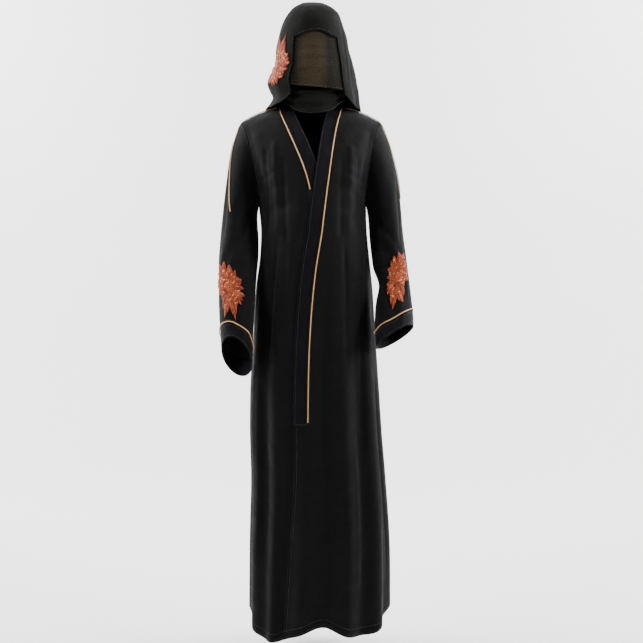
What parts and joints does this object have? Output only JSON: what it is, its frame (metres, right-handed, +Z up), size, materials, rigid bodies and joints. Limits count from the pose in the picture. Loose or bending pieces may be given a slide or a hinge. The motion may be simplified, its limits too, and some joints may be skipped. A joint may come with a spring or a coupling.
{
  "type": "worn set of front-opening abaya robe, headscarf and face veil",
  "caption": "Long front-opening robe with wide sleeves, a headscarf wound round the neck and a layered face veil, hollow and held in the pose of wear.",
  "frame": {"origin": "the middle of the robe's neck opening, level with the neck end of the shoulder seams, where the shoulders carry the robe", "axes": "+Z up, the front faces -Y, +X is the wearer's left"},
  "size_m": [0.5359, 0.3199, 1.7392],
  "materials": {
    "robe_cloth": "matte black crepe with a soft sheen",
    "band_cloth": "smoother black satin-backed crepe",
    "scarf_cloth": "matte black crepe",
    "veil_cloth": "thin sheer black veiling",
    "piping_satin": "pale gold satin cord",
    "applique_thread": "rust-red sewn threadwork"
  },
  "bodies": {
    "root": {"back": "robe_cloth", "front_left": "robe_cloth", "front_right": "robe_cloth", "sleeve_left": "robe_cloth", "sleeve_right": "robe_cloth", "cuff_left": "band_cloth", "cuff_right": "band_cloth", "band_left": "band_cloth", "band_right": "band_cloth", "scarf_hood": "scarf_cloth", "scarf_neck_wrap": "scarf_cloth", "veil_band": "veil_cloth", "veil_lower": "veil_cloth", "veil_outer": "veil_cloth", "piping_front_left": "piping_satin", "piping_front_right": "piping_satin", "piping_cuff_left": "piping_satin", "piping_cuff_right": "piping_satin", "piping_sleeve_left": "piping_satin", "piping_sleeve_right": "piping_satin", "applique_sleeve_left": "applique_thread", "applique_sleeve_right": "applique_thread", "applique_scarf": "applique_thread"}
  },
  "joints": []
}
